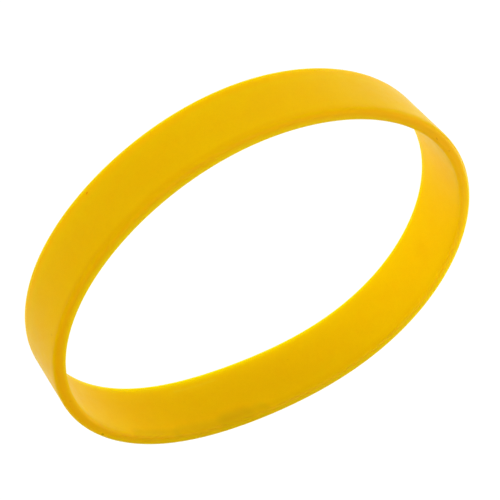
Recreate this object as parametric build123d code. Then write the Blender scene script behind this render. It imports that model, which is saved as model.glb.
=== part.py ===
from build123d import *
import math
import os
from collections import namedtuple

# A plain endless silicone band, lying on one rim as it does by itself. Sizes are in millimetres.
# The frame: the loop's axis is +Z, the floor that the lower rim rests on is z = 0, and the loop's
# long diameter runs along X.

inside_length = 202.0  # once round the inner wall, the size that such a band is sold by
band_width = 12.0  # from the lower rim to the upper one
wall = 2.0  # thickness of the silicone
outer_edge_radius = 0.8  # rounding between each rim and the outer wall
inner_edge_radius = 0.5  # rounding between each rim and the inner wall
largest_edge_share = 0.45  # no rounding takes more than this share of the wall

# A soft band that is set down relaxes a little out of round. Each row is one even wave of the
# wall's middle line: how many crests it has, how far they stand out as a share of the mean
# radius, and the direction of its first crest.
Wave = namedtuple("Wave", "crests depth_share crest_deg")
lay = [
    Wave(crests=2, depth_share=0.1, crest_deg=0.0),
    Wave(crests=3, depth_share=0.0173, crest_deg=18.0),
    Wave(crests=4, depth_share=0.0047, crest_deg=10.5),
]

outline_points = 24  # the smooth outlines pass through this many points
measuring_steps = 1440  # steps of the sums that measure the middle line


def turn_angles(count):
    """Evenly spaced angles, once round the loop."""
    count = round(count)
    return [2 * math.pi * step / count for step in range(count)]


def from_crest(wave, angle):
    """How far round its wave an angle is from the first crest."""
    return wave.crests * (angle - math.radians(wave.crest_deg))


def relative_radius(angle):
    """Radius of the middle line as a multiple of the mean radius."""
    return 1 + sum(wave.depth_share * math.cos(from_crest(wave, angle)) for wave in lay)


def relative_slope(angle):
    """How fast that radius changes with the angle."""
    return sum(-wave.crests * wave.depth_share * math.sin(from_crest(wave, angle)) for wave in lay)


def mean_radius():
    """The mean radius that gives the inner wall its length.

    The middle line of a closed wall is longer than its inside by pi times the thickness.
    """
    middle_length = inside_length + math.pi * wall
    step = 2 * math.pi / measuring_steps
    relative_length = sum(
        math.hypot(relative_radius(angle), relative_slope(angle)) * step
        for angle in turn_angles(measuring_steps)
    )
    return middle_length / relative_length


def outline(offset, radius, count):
    """Points once round the loop, each set out square from the middle line by the offset."""
    points = []
    for angle in turn_angles(count):
        out = radius * relative_radius(angle)
        slope = radius * relative_slope(angle)
        length = math.hypot(out, slope)
        along_radius = out + offset * out / length
        across_radius = -offset * slope / length
        x = along_radius * math.cos(angle) - across_radius * math.sin(angle)
        y = along_radius * math.sin(angle) + across_radius * math.cos(angle)
        points.append((x, y))
    return points


def loop_middle(radius):
    """The middle of the outer wall's extent in X and in Y, which becomes the origin."""
    extents = [(min(values), max(values)) for values in zip(*outline(wall / 2, radius, measuring_steps))]
    return [(low + high) / 2 for low, high in extents]


def outline_face(offset, radius, middle):
    """The flat area inside the closed smooth outline at one offset from the middle line."""
    points = [(x - middle[0], y - middle[1], 0) for x, y in outline(offset, radius, outline_points)]
    return Face(Wire([Edge.make_spline(points, periodic=True)]))


def edge_radius(wanted):
    """A rim's rounding, kept within its share of the wall."""
    return min(wanted, largest_edge_share * wall)


def rim_edges(loop):
    """The edges that run all the way round, those of the inner wall first and the outer wall last."""
    return loop.edges().filter_by(lambda edge: edge.is_closed).sort_by(SortBy.LENGTH)


def make_band():
    """The moulded loop: an even wall between two outlines, with all four rim edges rounded."""
    radius = mean_radius()
    middle = loop_middle(radius)
    ring = outline_face(wall / 2, radius, middle) - outline_face(-wall / 2, radius, middle)
    loop = extrude(ring, amount=band_width)
    loop = fillet(rim_edges(loop)[:2], edge_radius(inner_edge_radius))
    return fillet(rim_edges(loop)[-2:], edge_radius(outer_edge_radius))


os.makedirs("parts", exist_ok=True)
export_step(make_band(), "parts/band.step")
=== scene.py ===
import math
from collections import namedtuple

import bpy
import numpy as np
from mathutils import Matrix, Vector


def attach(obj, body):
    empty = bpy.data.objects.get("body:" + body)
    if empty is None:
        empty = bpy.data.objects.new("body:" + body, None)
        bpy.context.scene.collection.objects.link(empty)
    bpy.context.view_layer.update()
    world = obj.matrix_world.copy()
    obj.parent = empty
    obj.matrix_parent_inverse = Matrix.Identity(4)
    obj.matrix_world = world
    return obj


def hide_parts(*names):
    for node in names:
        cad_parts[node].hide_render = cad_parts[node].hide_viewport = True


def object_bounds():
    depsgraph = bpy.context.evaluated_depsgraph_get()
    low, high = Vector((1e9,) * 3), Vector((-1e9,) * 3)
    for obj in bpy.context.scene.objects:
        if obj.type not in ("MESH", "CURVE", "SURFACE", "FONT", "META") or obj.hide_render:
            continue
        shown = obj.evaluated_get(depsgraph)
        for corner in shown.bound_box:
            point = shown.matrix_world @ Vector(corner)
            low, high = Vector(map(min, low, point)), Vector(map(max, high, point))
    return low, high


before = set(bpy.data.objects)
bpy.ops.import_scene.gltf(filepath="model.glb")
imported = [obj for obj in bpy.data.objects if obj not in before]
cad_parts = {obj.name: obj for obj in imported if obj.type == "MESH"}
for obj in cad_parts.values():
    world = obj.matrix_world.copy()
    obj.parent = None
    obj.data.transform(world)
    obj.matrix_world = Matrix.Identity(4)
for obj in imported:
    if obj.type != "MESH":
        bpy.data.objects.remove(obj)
cad_low, cad_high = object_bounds()

# A plain yellow silicone band lying on one rim, on a white table. Sizes are in metres.
MM = 0.001

# The loop, as the construction makes it. Its overall size comes from the frame's own box.
WALL = 2.0 * MM
OUTER_EDGE_RADIUS = 0.8 * MM
INNER_EDGE_RADIUS = 0.5 * MM
Wave = namedtuple("Wave", "crests depth_share crest_deg")
LAY = [
    Wave(crests=2, depth_share=0.1, crest_deg=0.0),
    Wave(crests=3, depth_share=0.0173, crest_deg=18.0),
    Wave(crests=4, depth_share=0.0047, crest_deg=10.5),
]

# The soft wall doesn't stand quite upright. Each row is one even wave of its lean outwards.
Lean = namedtuple("Lean", "crests tilt_deg crest_deg")
LEANS = [
    Lean(crests=1, tilt_deg=2.2, crest_deg=96.0),
    Lean(crests=2, tilt_deg=0.8, crest_deg=58.0),
    Lean(crests=3, tilt_deg=1.0, crest_deg=67.5),
]

# How finely the loop is divided
STEPS_ROUND = 720
CORNER_STEPS = 8
WALL_STEPS = 16
RIM_STEPS = 3

# The silicone's own yellows, and three layers of soft unevenness. A layer's patches are about its
# size across. As its noise runs from low to high, it brings in up to its share of its own yellow.
DEEP_YELLOW = (0.9, 0.415, 0.0)
PALE_YELLOW = (0.92, 0.43, 0.0)
WARM_YELLOW = (0.91, 0.405, 0.0)
GRAIN_YELLOW = (0.85, 0.39, 0.0)
NOISE_ROUGHNESS = 0.5
Layer = namedtuple("Layer", "size detail low high share")
CLOUDS = Layer(size=9.0 * MM, detail=3, low=0.35, high=0.65, share=1.0)
MOTTLE = Layer(size=1.6 * MM, detail=2, low=0.45, high=0.75, share=0.6)
GRAIN = Layer(size=0.26 * MM, detail=2, low=0.4, high=0.75, share=0.35)

# Painted shading: the wall near both rims gets a darker yellow that paints the shade on its rounded
# edges, the rims a redder yellow that paints how light falls on them, and the foot a more orange one
# that paints the shade by the table. Each comes with how far it reaches from the end of the band.
# Each turns from its inside yellow to its outside one between two places across the wall. A mesh
# attribute keeps those places, from -1 inside to 1 outside.
EDGE_SHADE_INSIDE = (0.87, 0.385, 0.0)
EDGE_SHADE_OUTSIDE = (0.86, 0.365, 0.0)
EDGE_REACH = 1.8 * MM
RIM_SHADING_INSIDE = (0.99, 0.352, 0.01)
RIM_SHADING_OUTSIDE = (0.98, 0.338, 0.005)
RIM_REACH = 0.5 * MM
FOOT_SHADE_INSIDE = (0.9, 0.375, 0.0)
FOOT_SHADE_OUTSIDE = (0.96, 0.325, 0.0)
FOOT_REACH = 3.2 * MM
OUTWARDS = "outwards"
TURN_FROM = -1.0
TURN_TO = 0.2

# The surface: fine relief, a satin body whose roughness follows the mottle's noise between two of
# its values, and a thin smoother skin. The scatter depths are for red, green and blue light, as
# multiples of the scatter scale.
MOTTLE_DEPTH = 0.012 * MM
GRAIN_DEPTH = 0.004 * MM
ROUGHNESS = 0.45
ROUGHNESS_SPREAD = 0.05
SMOOTHEST_AT = 0.3
ROUGHEST_AT = 0.7
BODY_IOR = 1.41
BODY_SPECULAR = 0.02
SKIN_SHARE = 0.3
SKIN_ROUGHNESS = 0.25
SKIN_IOR = 1.1
SCATTER_SHARE = 1.0
SCATTER_DEPTHS = (9.0, 10.0, 0.4)
SCATTER_SCALE = 1.0 * MM

# Small marks that show on the band, with a painted shade and a scuff's painted highlight drawn the
# same way: where each starts and ends and how far it reaches, in millimetres. The outer part of each
# fades, and a core of this share of the radius is even.
MARK_CORE = 0.3
RAGGED_SIZE = 0.3 * MM
RAGGED_DEPTH = 0.12 * MM
RAGGED_DETAIL = 1
NOISE_MIDDLE = 0.5
RUST = (0.75, 0.03, 0.0)
BROWN = (0.55, 0.12, 0.0)
DARK = (0.1, 0.02, 0.0)
# The olive of a painted shade along the inner wall under the rim.
OLIVE_SHADE = (0.55, 0.32, 0.002)
DUSKY_YELLOW = (0.86, 0.38, 0.0)
PALE = (0.9, 0.6, 0.06)
Mark = namedtuple("Mark", "start end radius colour strength")
MARKS = [
    Mark((22.04, -23.86, 1.51), (22.14, -23.76, 1.58), radius=0.2, colour=RUST, strength=0.6),
    Mark((34.9, -8.82, 10.14), (34.93, -8.72, 10.2), radius=0.22, colour=BROWN, strength=0.25),
    Mark((35.81, 4.23, 12.0), (35.75, 4.4, 12.0), radius=0.22, colour=BROWN, strength=0.15),
    Mark((32.71, 14.87, 11.98), (32.6, 15.05, 11.98), radius=0.28, colour=DARK, strength=0.5),
    Mark((-31.3, -13.9, 12.0), (-31.1, -14.4, 12.0), radius=0.14, colour=BROWN, strength=0.35),
    Mark((-33.5, -10.4, 12.0), (-33.2, -10.6, 12.0), radius=0.14, colour=BROWN, strength=0.3),
    Mark((-33.15, 11.32, 7.77), (-33.1, 11.4, 7.7), radius=0.45, colour=WARM_YELLOW, strength=0.8),
    Mark((-30.79, 15.64, 6.9), (-30.75, 15.7, 5.6), radius=2.2, colour=DUSKY_YELLOW, strength=0.4),
    Mark((17.05, 26.15, 12.0), (16.9, 26.2, 12.0), radius=0.18, colour=BROWN, strength=0.25),
    Mark((-3.66, 28.59, 4.04), (-3.8, 28.58, 4.1), radius=0.2, colour=BROWN, strength=0.15),
    # A pale streak low on the inner wall: a faint scuff, with a painted highlight along it.
    Mark((17.06, 25.01, 2.36), (9.56, 27.11, 2.18), radius=0.4, colour=PALE, strength=0.12),
    # A painted olive shade along the inner wall, just under the rim.
    Mark((26.7, 19.8, 11.6), (21.4, 23.5, 11.6), radius=2.0, colour=OLIVE_SHADE, strength=0.28),
    Mark((19.6, 24.3, 11.6), (5.5, 28.3, 11.6), radius=2.4, colour=OLIVE_SHADE, strength=0.33),
    Mark((11.4, 27.2, 11.3), (8.8, 27.8, 11.3), radius=2.8, colour=OLIVE_SHADE, strength=0.4),
]

# The light: a plain white light table, and soft round lamps that all face the band, with their
# distances and sizes in metres and their powers in watts. A lamp that isn't mirrored lights the
# band without showing in its skin. The surround only shows behind.
WHITE = (1, 1, 1, 1)
BLACK = (0, 0, 0, 1)
TABLE_HALF = 1.5
TABLE_ROUGHNESS = 0.9
TABLE_GLOW = 1.06
SURROUND_BRIGHTNESS = 1.0
Lamp = namedtuple("Lamp", "name azimuth_deg elevation_deg distance size power mirrored")
LAMPS = [
    Lamp("front", azimuth_deg=-105, elevation_deg=38, distance=0.13, size=0.18, power=0.086, mirrored=True),
    Lamp("left", azimuth_deg=152, elevation_deg=15, distance=0.22, size=0.09, power=0.172, mirrored=True),
    Lamp("low_left", azimuth_deg=190, elevation_deg=6, distance=0.22, size=0.04, power=0.065, mirrored=True),
    Lamp(
        "upper_left", azimuth_deg=150, elevation_deg=45, distance=0.12, size=0.08, power=0.013, mirrored=True
    ),
    Lamp("right", azimuth_deg=13, elevation_deg=50, distance=0.6, size=0.4, power=1.55, mirrored=False),
]

# The camera, as it stands to the middle of the band. Its lens and sensor are in millimetres.
CAMERA_AZIMUTH_DEG = -70.51
CAMERA_ELEVATION_DEG = 41.62
CAMERA_ROLL_DEG = 218.28
CAMERA_DISTANCE = 226.06 * MM
CAMERA_RIGHT = -0.678 * MM
CAMERA_UP = -1.875 * MM
CAMERA_LENS = 101.98
CAMERA_CLIP_START = 1 * MM
SENSOR_WIDTH = 36.0


def direction(azimuth_deg, elevation_deg):
    """The unit vector that points that way from the band, azimuth counted from +X."""
    azimuth, elevation = math.radians(azimuth_deg), math.radians(elevation_deg)
    return Vector((
        math.cos(azimuth) * math.cos(elevation),
        math.sin(azimuth) * math.cos(elevation),
        math.sin(elevation),
    ))


def from_crest(row, angle):
    """How far round its wave an angle is from the first crest."""
    return row.crests * (angle - math.radians(row.crest_deg))


def relative_radius(angle):
    """Radius of the wall's middle line as a multiple of its mean radius."""
    return 1 + sum(wave.depth_share * np.cos(from_crest(wave, angle)) for wave in LAY)


def lean_slope(angle):
    """How far the wall moves outwards for each metre of height."""
    return np.tan(np.radians(sum(row.tilt_deg * np.cos(from_crest(row, angle)) for row in LEANS)))


def middle_line(angle):
    """Points of the middle line and its outward normals, fitted to the frame's box."""
    radius = relative_radius(angle)
    line = np.stack([radius * np.cos(angle), radius * np.sin(angle)], 1)
    box_width = cad_high.x - cad_low.x
    line *= (box_width - WALL) / np.ptp(line[:, 0])
    line -= (line.max(0) + line.min(0)) / 2
    along = np.roll(line, -1, 0) - np.roll(line, 1, 0)
    normal = np.stack([along[:, 1], -along[:, 0]], 1)
    return line, normal / np.linalg.norm(normal, axis=1, keepdims=True)


def corner(centre, radius, start_deg):
    """A quarter turn of the section, anticlockwise from start_deg."""
    angles = np.radians(start_deg + np.linspace(0, 90, CORNER_STEPS + 1))
    return centre + radius * np.stack([np.cos(angles), np.sin(angles)], 1)


def run(start, end, steps):
    """The points strictly between two ends of a flat stretch of the section."""
    shares = np.linspace(0, 1, steps + 1)[1:-1, None]
    return start + shares * (end - start)


def section(width):
    """The closed section, anticlockwise: distance out from the middle line, and height."""
    half = WALL / 2
    outer, inner = OUTER_EDGE_RADIUS, INNER_EDGE_RADIUS
    corners = [
        corner(np.array([half - outer, width - outer]), outer, start_deg=0),
        corner(np.array([-half + inner, width - inner]), inner, start_deg=90),
        corner(np.array([-half + inner, inner]), inner, start_deg=180),
        corner(np.array([half - outer, outer]), outer, start_deg=270),
    ]
    steps = [RIM_STEPS, WALL_STEPS, RIM_STEPS, WALL_STEPS]
    points = []
    for turn, this in enumerate(corners):
        following = corners[(turn + 1) % len(corners)]
        points += [this, run(this[-1], following[0], steps[turn])]
    return np.concatenate(points)


def ring_mesh(name, rings):
    """A closed quad mesh from rings[step round, point of the section]."""
    steps, around = rings.shape[:2]
    here = np.arange(steps)[:, None] * around + np.arange(around)[None]
    ahead = np.roll(here, -1, 0)
    faces = np.stack([here, ahead, np.roll(ahead, -1, 1), np.roll(here, -1, 1)], -1)
    mesh = bpy.data.meshes.new(name)
    mesh.from_pydata(rings.reshape(-1, 3).tolist(), [], faces.reshape(-1, 4).tolist())
    mesh.polygons.foreach_set("use_smooth", [True] * len(mesh.polygons))
    mesh.update()
    return mesh


def make_band():
    """The moulded loop, which stands for the construction's solid."""
    angle = np.linspace(0, 2 * math.pi, STEPS_ROUND, endpoint=False)
    line, normal = middle_line(angle)
    width = cad_high.z - cad_low.z
    shape = section(width)
    out = shape[None, :, 0] + lean_slope(angle)[:, None] * (shape[None, :, 1] - width / 2)
    flat = line[:, None] + normal[:, None] * out[..., None]
    height = np.broadcast_to(shape[None, :, 1:], flat.shape[:2] + (1,)) + cad_low.z
    mesh = ring_mesh("silicone_band", np.concatenate([flat, height], -1))
    outwards = mesh.attributes.new(OUTWARDS, "FLOAT", "POINT")
    outwards.data.foreach_set("value", np.tile(shape[:, 0] / (WALL / 2), STEPS_ROUND))
    band = bpy.data.objects.new("silicone_band", mesh)
    bpy.context.scene.collection.objects.link(band)
    mesh.materials.append(silicone())
    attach(band, "root")
    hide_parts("band")


def new_material(name):
    """An empty node material, its tree and its principled shader."""
    material = bpy.data.materials.new(name)
    material.use_nodes = True
    return material, material.node_tree, material.node_tree.nodes["Principled BSDF"]


def set_inputs(shader, values):
    """Give each named socket of the shader its even value."""
    for name, value in values.items():
        shader.inputs[name].default_value = value


def node(tree, kind, inputs=None, **settings):
    """A new node with its settings. An input may be a plain value or another node's output."""
    made = tree.nodes.new("ShaderNode" + kind)
    for name, value in settings.items():
        setattr(made, name, value)
    for name, value in (inputs or {}).items():
        if isinstance(value, bpy.types.NodeSocket):
            tree.links.new(value, made.inputs[name])
        else:
            made.inputs[name].default_value = value
    return made


def layer_noise(tree, place, layer):
    """Soft random values round one half, whose patches have the layer's size."""
    inputs = {
        "Vector": place,
        "Scale": 1 / layer.size,
        "Detail": layer.detail,
        "Roughness": NOISE_ROUGHNESS,
    }
    return node(tree, "TexNoise", inputs).outputs["Fac"]


def spread(tree, value, low, high, to_low, to_high):
    """The value's range from low to high, laid smoothly onto another range."""
    inputs = {"Value": value, "From Min": low, "From Max": high, "To Min": to_low, "To Max": to_high}
    return node(tree, "MapRange", inputs, interpolation_type="SMOOTHSTEP").outputs["Result"]


def layer_share(tree, noise, layer):
    """How much of the layer's own yellow its noise brings."""
    return spread(tree, noise, layer.low, layer.high, 0.0, layer.share)


def mix_colours(tree, factor, first, second):
    """The first colour, turned into the second by the factor."""
    mixed = node(tree, "Mix", data_type="RGBA")
    sockets = [socket for socket in mixed.inputs if socket.enabled]
    for socket, value in zip(sockets, (factor, first, second)):
        if isinstance(value, bpy.types.NodeSocket):
            tree.links.new(value, socket)
        else:
            socket.default_value = (*value, 1)
    return next(socket for socket in mixed.outputs if socket.enabled)


def shifted(tree, place):
    """Every place moved a little at random, so that what is drawn there has uneven edges."""
    inputs = {"Vector": place, "Scale": 1 / RAGGED_SIZE, "Detail": RAGGED_DETAIL}
    random = node(tree, "TexNoise", inputs).outputs["Color"]
    centred = node(tree, "VectorMath", {0: random, 1: (-NOISE_MIDDLE,) * 3}, operation="ADD")
    inputs = {0: centred.outputs["Vector"], 1: (RAGGED_DEPTH,) * 3, 2: place}
    return node(tree, "VectorMath", inputs, operation="MULTIPLY_ADD").outputs["Vector"]


def line_distance(tree, place, start, end):
    """How far a place is from the straight line between two points."""
    whole = end - start
    there = node(tree, "VectorMath", {0: place, 1: start}, operation="SUBTRACT").outputs["Vector"]
    reach = node(tree, "VectorMath", {0: there, 1: whole / whole.length_squared}, operation="DOT_PRODUCT")
    share = node(tree, "Clamp", {"Value": reach.outputs["Value"]}).outputs["Result"]
    along = node(tree, "VectorMath", {0: whole, "Scale": share}, operation="SCALE").outputs["Vector"]
    return node(tree, "VectorMath", {0: there, 1: along}, operation="DISTANCE").outputs["Value"]


def with_painted_shading(tree, place, colour):
    """The colour, with painted shading near the rims, on them and round the foot."""
    half_width = cad_high.z / 2
    height = node(tree, "SeparateXYZ", {"Vector": place}).outputs["Z"]
    off_middle = node(tree, "Math", {0: height, 1: -half_width}, operation="ADD").outputs["Value"]
    off_middle = node(tree, "Math", {0: off_middle}, operation="ABSOLUTE").outputs["Value"]
    outwards = node(tree, "Attribute", attribute_name=OUTWARDS).outputs["Fac"]
    outside = spread(tree, outwards, TURN_FROM, TURN_TO, 0.0, 1.0)
    edge_shade_colour = mix_colours(tree, outside, EDGE_SHADE_INSIDE, EDGE_SHADE_OUTSIDE)
    rim_shading_colour = mix_colours(tree, outside, RIM_SHADING_INSIDE, RIM_SHADING_OUTSIDE)
    foot_shade_colour = mix_colours(tree, outside, FOOT_SHADE_INSIDE, FOOT_SHADE_OUTSIDE)
    near_edge = spread(tree, off_middle, half_width - EDGE_REACH, half_width - RIM_REACH, 0.0, 1.0)
    colour = mix_colours(tree, near_edge, colour, edge_shade_colour)
    on_rim = spread(tree, off_middle, half_width - RIM_REACH, half_width, 0.0, 1.0)
    colour = mix_colours(tree, on_rim, colour, rim_shading_colour)
    at_foot = spread(tree, height, RIM_REACH, FOOT_REACH, 1.0, 0.0)
    return mix_colours(tree, at_foot, colour, foot_shade_colour)


def marked(tree, place, colour):
    """The colour with the small marks on it, among them a painted shade and a painted highlight."""
    ragged_place = shifted(tree, place)
    for mark in MARKS:
        start, end = Vector(mark.start) * MM, Vector(mark.end) * MM
        distance = line_distance(tree, ragged_place, start, end)
        radius = mark.radius * MM
        factor = spread(tree, distance, radius * MARK_CORE, radius, mark.strength, 0.0)
        colour = mix_colours(tree, factor, colour, mark.colour)
    return colour


def silicone():
    """Yellow silicone, coloured through, with a soft satin moulded skin and a few small marks. Painted
    shade and a painted highlight are drawn in among them.
    """
    material, tree, shader = new_material("yellow_silicone")
    place = node(tree, "TexCoord").outputs["Object"]
    clouds = layer_noise(tree, place, CLOUDS)
    mottle = layer_noise(tree, place, MOTTLE)
    grain = layer_noise(tree, place, GRAIN)

    colour = mix_colours(tree, layer_share(tree, clouds, CLOUDS), DEEP_YELLOW, PALE_YELLOW)
    colour = mix_colours(tree, layer_share(tree, mottle, MOTTLE), colour, WARM_YELLOW)
    colour = mix_colours(tree, layer_share(tree, grain, GRAIN), colour, GRAIN_YELLOW)
    colour = marked(tree, place, with_painted_shading(tree, place, colour))
    tree.links.new(colour, shader.inputs["Base Color"])

    smoothest, roughest = ROUGHNESS - ROUGHNESS_SPREAD, ROUGHNESS + ROUGHNESS_SPREAD
    roughness = spread(tree, mottle, SMOOTHEST_AT, ROUGHEST_AT, smoothest, roughest)
    tree.links.new(roughness, shader.inputs["Roughness"])
    soft_waves = node(tree, "Bump", {"Height": mottle, "Distance": MOTTLE_DEPTH}).outputs["Normal"]
    skin = node(tree, "Bump", {"Height": grain, "Distance": GRAIN_DEPTH, "Normal": soft_waves})
    tree.links.new(skin.outputs["Normal"], shader.inputs["Normal"])

    set_inputs(shader, {
        "IOR": BODY_IOR,
        "Specular IOR Level": BODY_SPECULAR,
        "Coat Weight": SKIN_SHARE,
        "Coat Roughness": SKIN_ROUGHNESS,
        "Coat IOR": SKIN_IOR,
        "Subsurface Weight": SCATTER_SHARE,
        "Subsurface Radius": SCATTER_DEPTHS,
        "Subsurface Scale": SCATTER_SCALE,
    })
    return material


def make_floor():
    """The plain white light table. Not being sampled as a lamp makes its light less grainy."""
    mesh = bpy.data.meshes.new("floor")
    half = TABLE_HALF
    corners = [(-half, -half, 0), (half, -half, 0), (half, half, 0), (-half, half, 0)]
    mesh.from_pydata(corners, [], [(0, 1, 2, 3)])
    floor = bpy.data.objects.new("floor", mesh)
    bpy.context.scene.collection.objects.link(floor)
    material, _, shader = new_material("white_table")
    set_inputs(shader, {
        "Base Color": BLACK,
        "Roughness": TABLE_ROUGHNESS,
        "Specular IOR Level": 0.0,
        "Emission Color": WHITE,
        "Emission Strength": TABLE_GLOW,
    })
    material.cycles.emission_sampling = "NONE"
    mesh.materials.append(material)
    floor.location.z = cad_low.z


def make_lamps():
    """Soft round lamps about the table."""
    for lamp in LAMPS:
        data = bpy.data.lights.new(lamp.name, "AREA")
        data.shape = "DISK"
        data.size = lamp.size
        data.energy = lamp.power
        light = bpy.data.objects.new(lamp.name, data)
        bpy.context.scene.collection.objects.link(light)
        towards = direction(lamp.azimuth_deg, lamp.elevation_deg)
        light.location = towards * lamp.distance
        light.visible_glossy = lamp.mirrored
        light.rotation_mode = "QUATERNION"
        light.rotation_quaternion = towards.to_track_quat("Z", "Y")


def make_surround():
    """An even white surround behind the table, which the camera sees but which lights nothing."""
    world = bpy.data.worlds.new("surround")
    world.use_nodes = True
    background = world.node_tree.nodes["Background"]
    set_inputs(background, {"Color": WHITE, "Strength": SURROUND_BRIGHTNESS})
    for kind in ("diffuse", "glossy", "transmission", "scatter"):
        setattr(world.cycles_visibility, kind, False)
    bpy.context.scene.world = world


def make_camera():
    """The camera at the photograph's angle, rolled about its own line of sight."""
    back = direction(CAMERA_AZIMUTH_DEG, CAMERA_ELEVATION_DEG)
    level = Vector((0, 0, 1)).cross(back).normalized()
    upright = back.cross(level)
    roll = math.radians(CAMERA_ROLL_DEG)
    right = math.cos(roll) * level - math.sin(roll) * upright
    up = math.sin(roll) * level + math.cos(roll) * upright
    data = bpy.data.cameras.new("camera")
    data.lens = CAMERA_LENS
    data.sensor_width = SENSOR_WIDTH
    data.clip_start = CAMERA_CLIP_START
    camera = bpy.data.objects.new("camera", data)
    bpy.context.scene.collection.objects.link(camera)
    turn = Matrix((right, up, back)).transposed()
    middle = (cad_low + cad_high) / 2
    place = middle + CAMERA_RIGHT * level + CAMERA_UP * upright + CAMERA_DISTANCE * back
    camera.matrix_world = Matrix.LocRotScale(place, turn.to_quaternion(), None)
    bpy.context.scene.camera = camera


bpy.context.scene.view_settings.view_transform = "Standard"
make_camera()
make_band()
make_floor()
make_lamps()
make_surround()
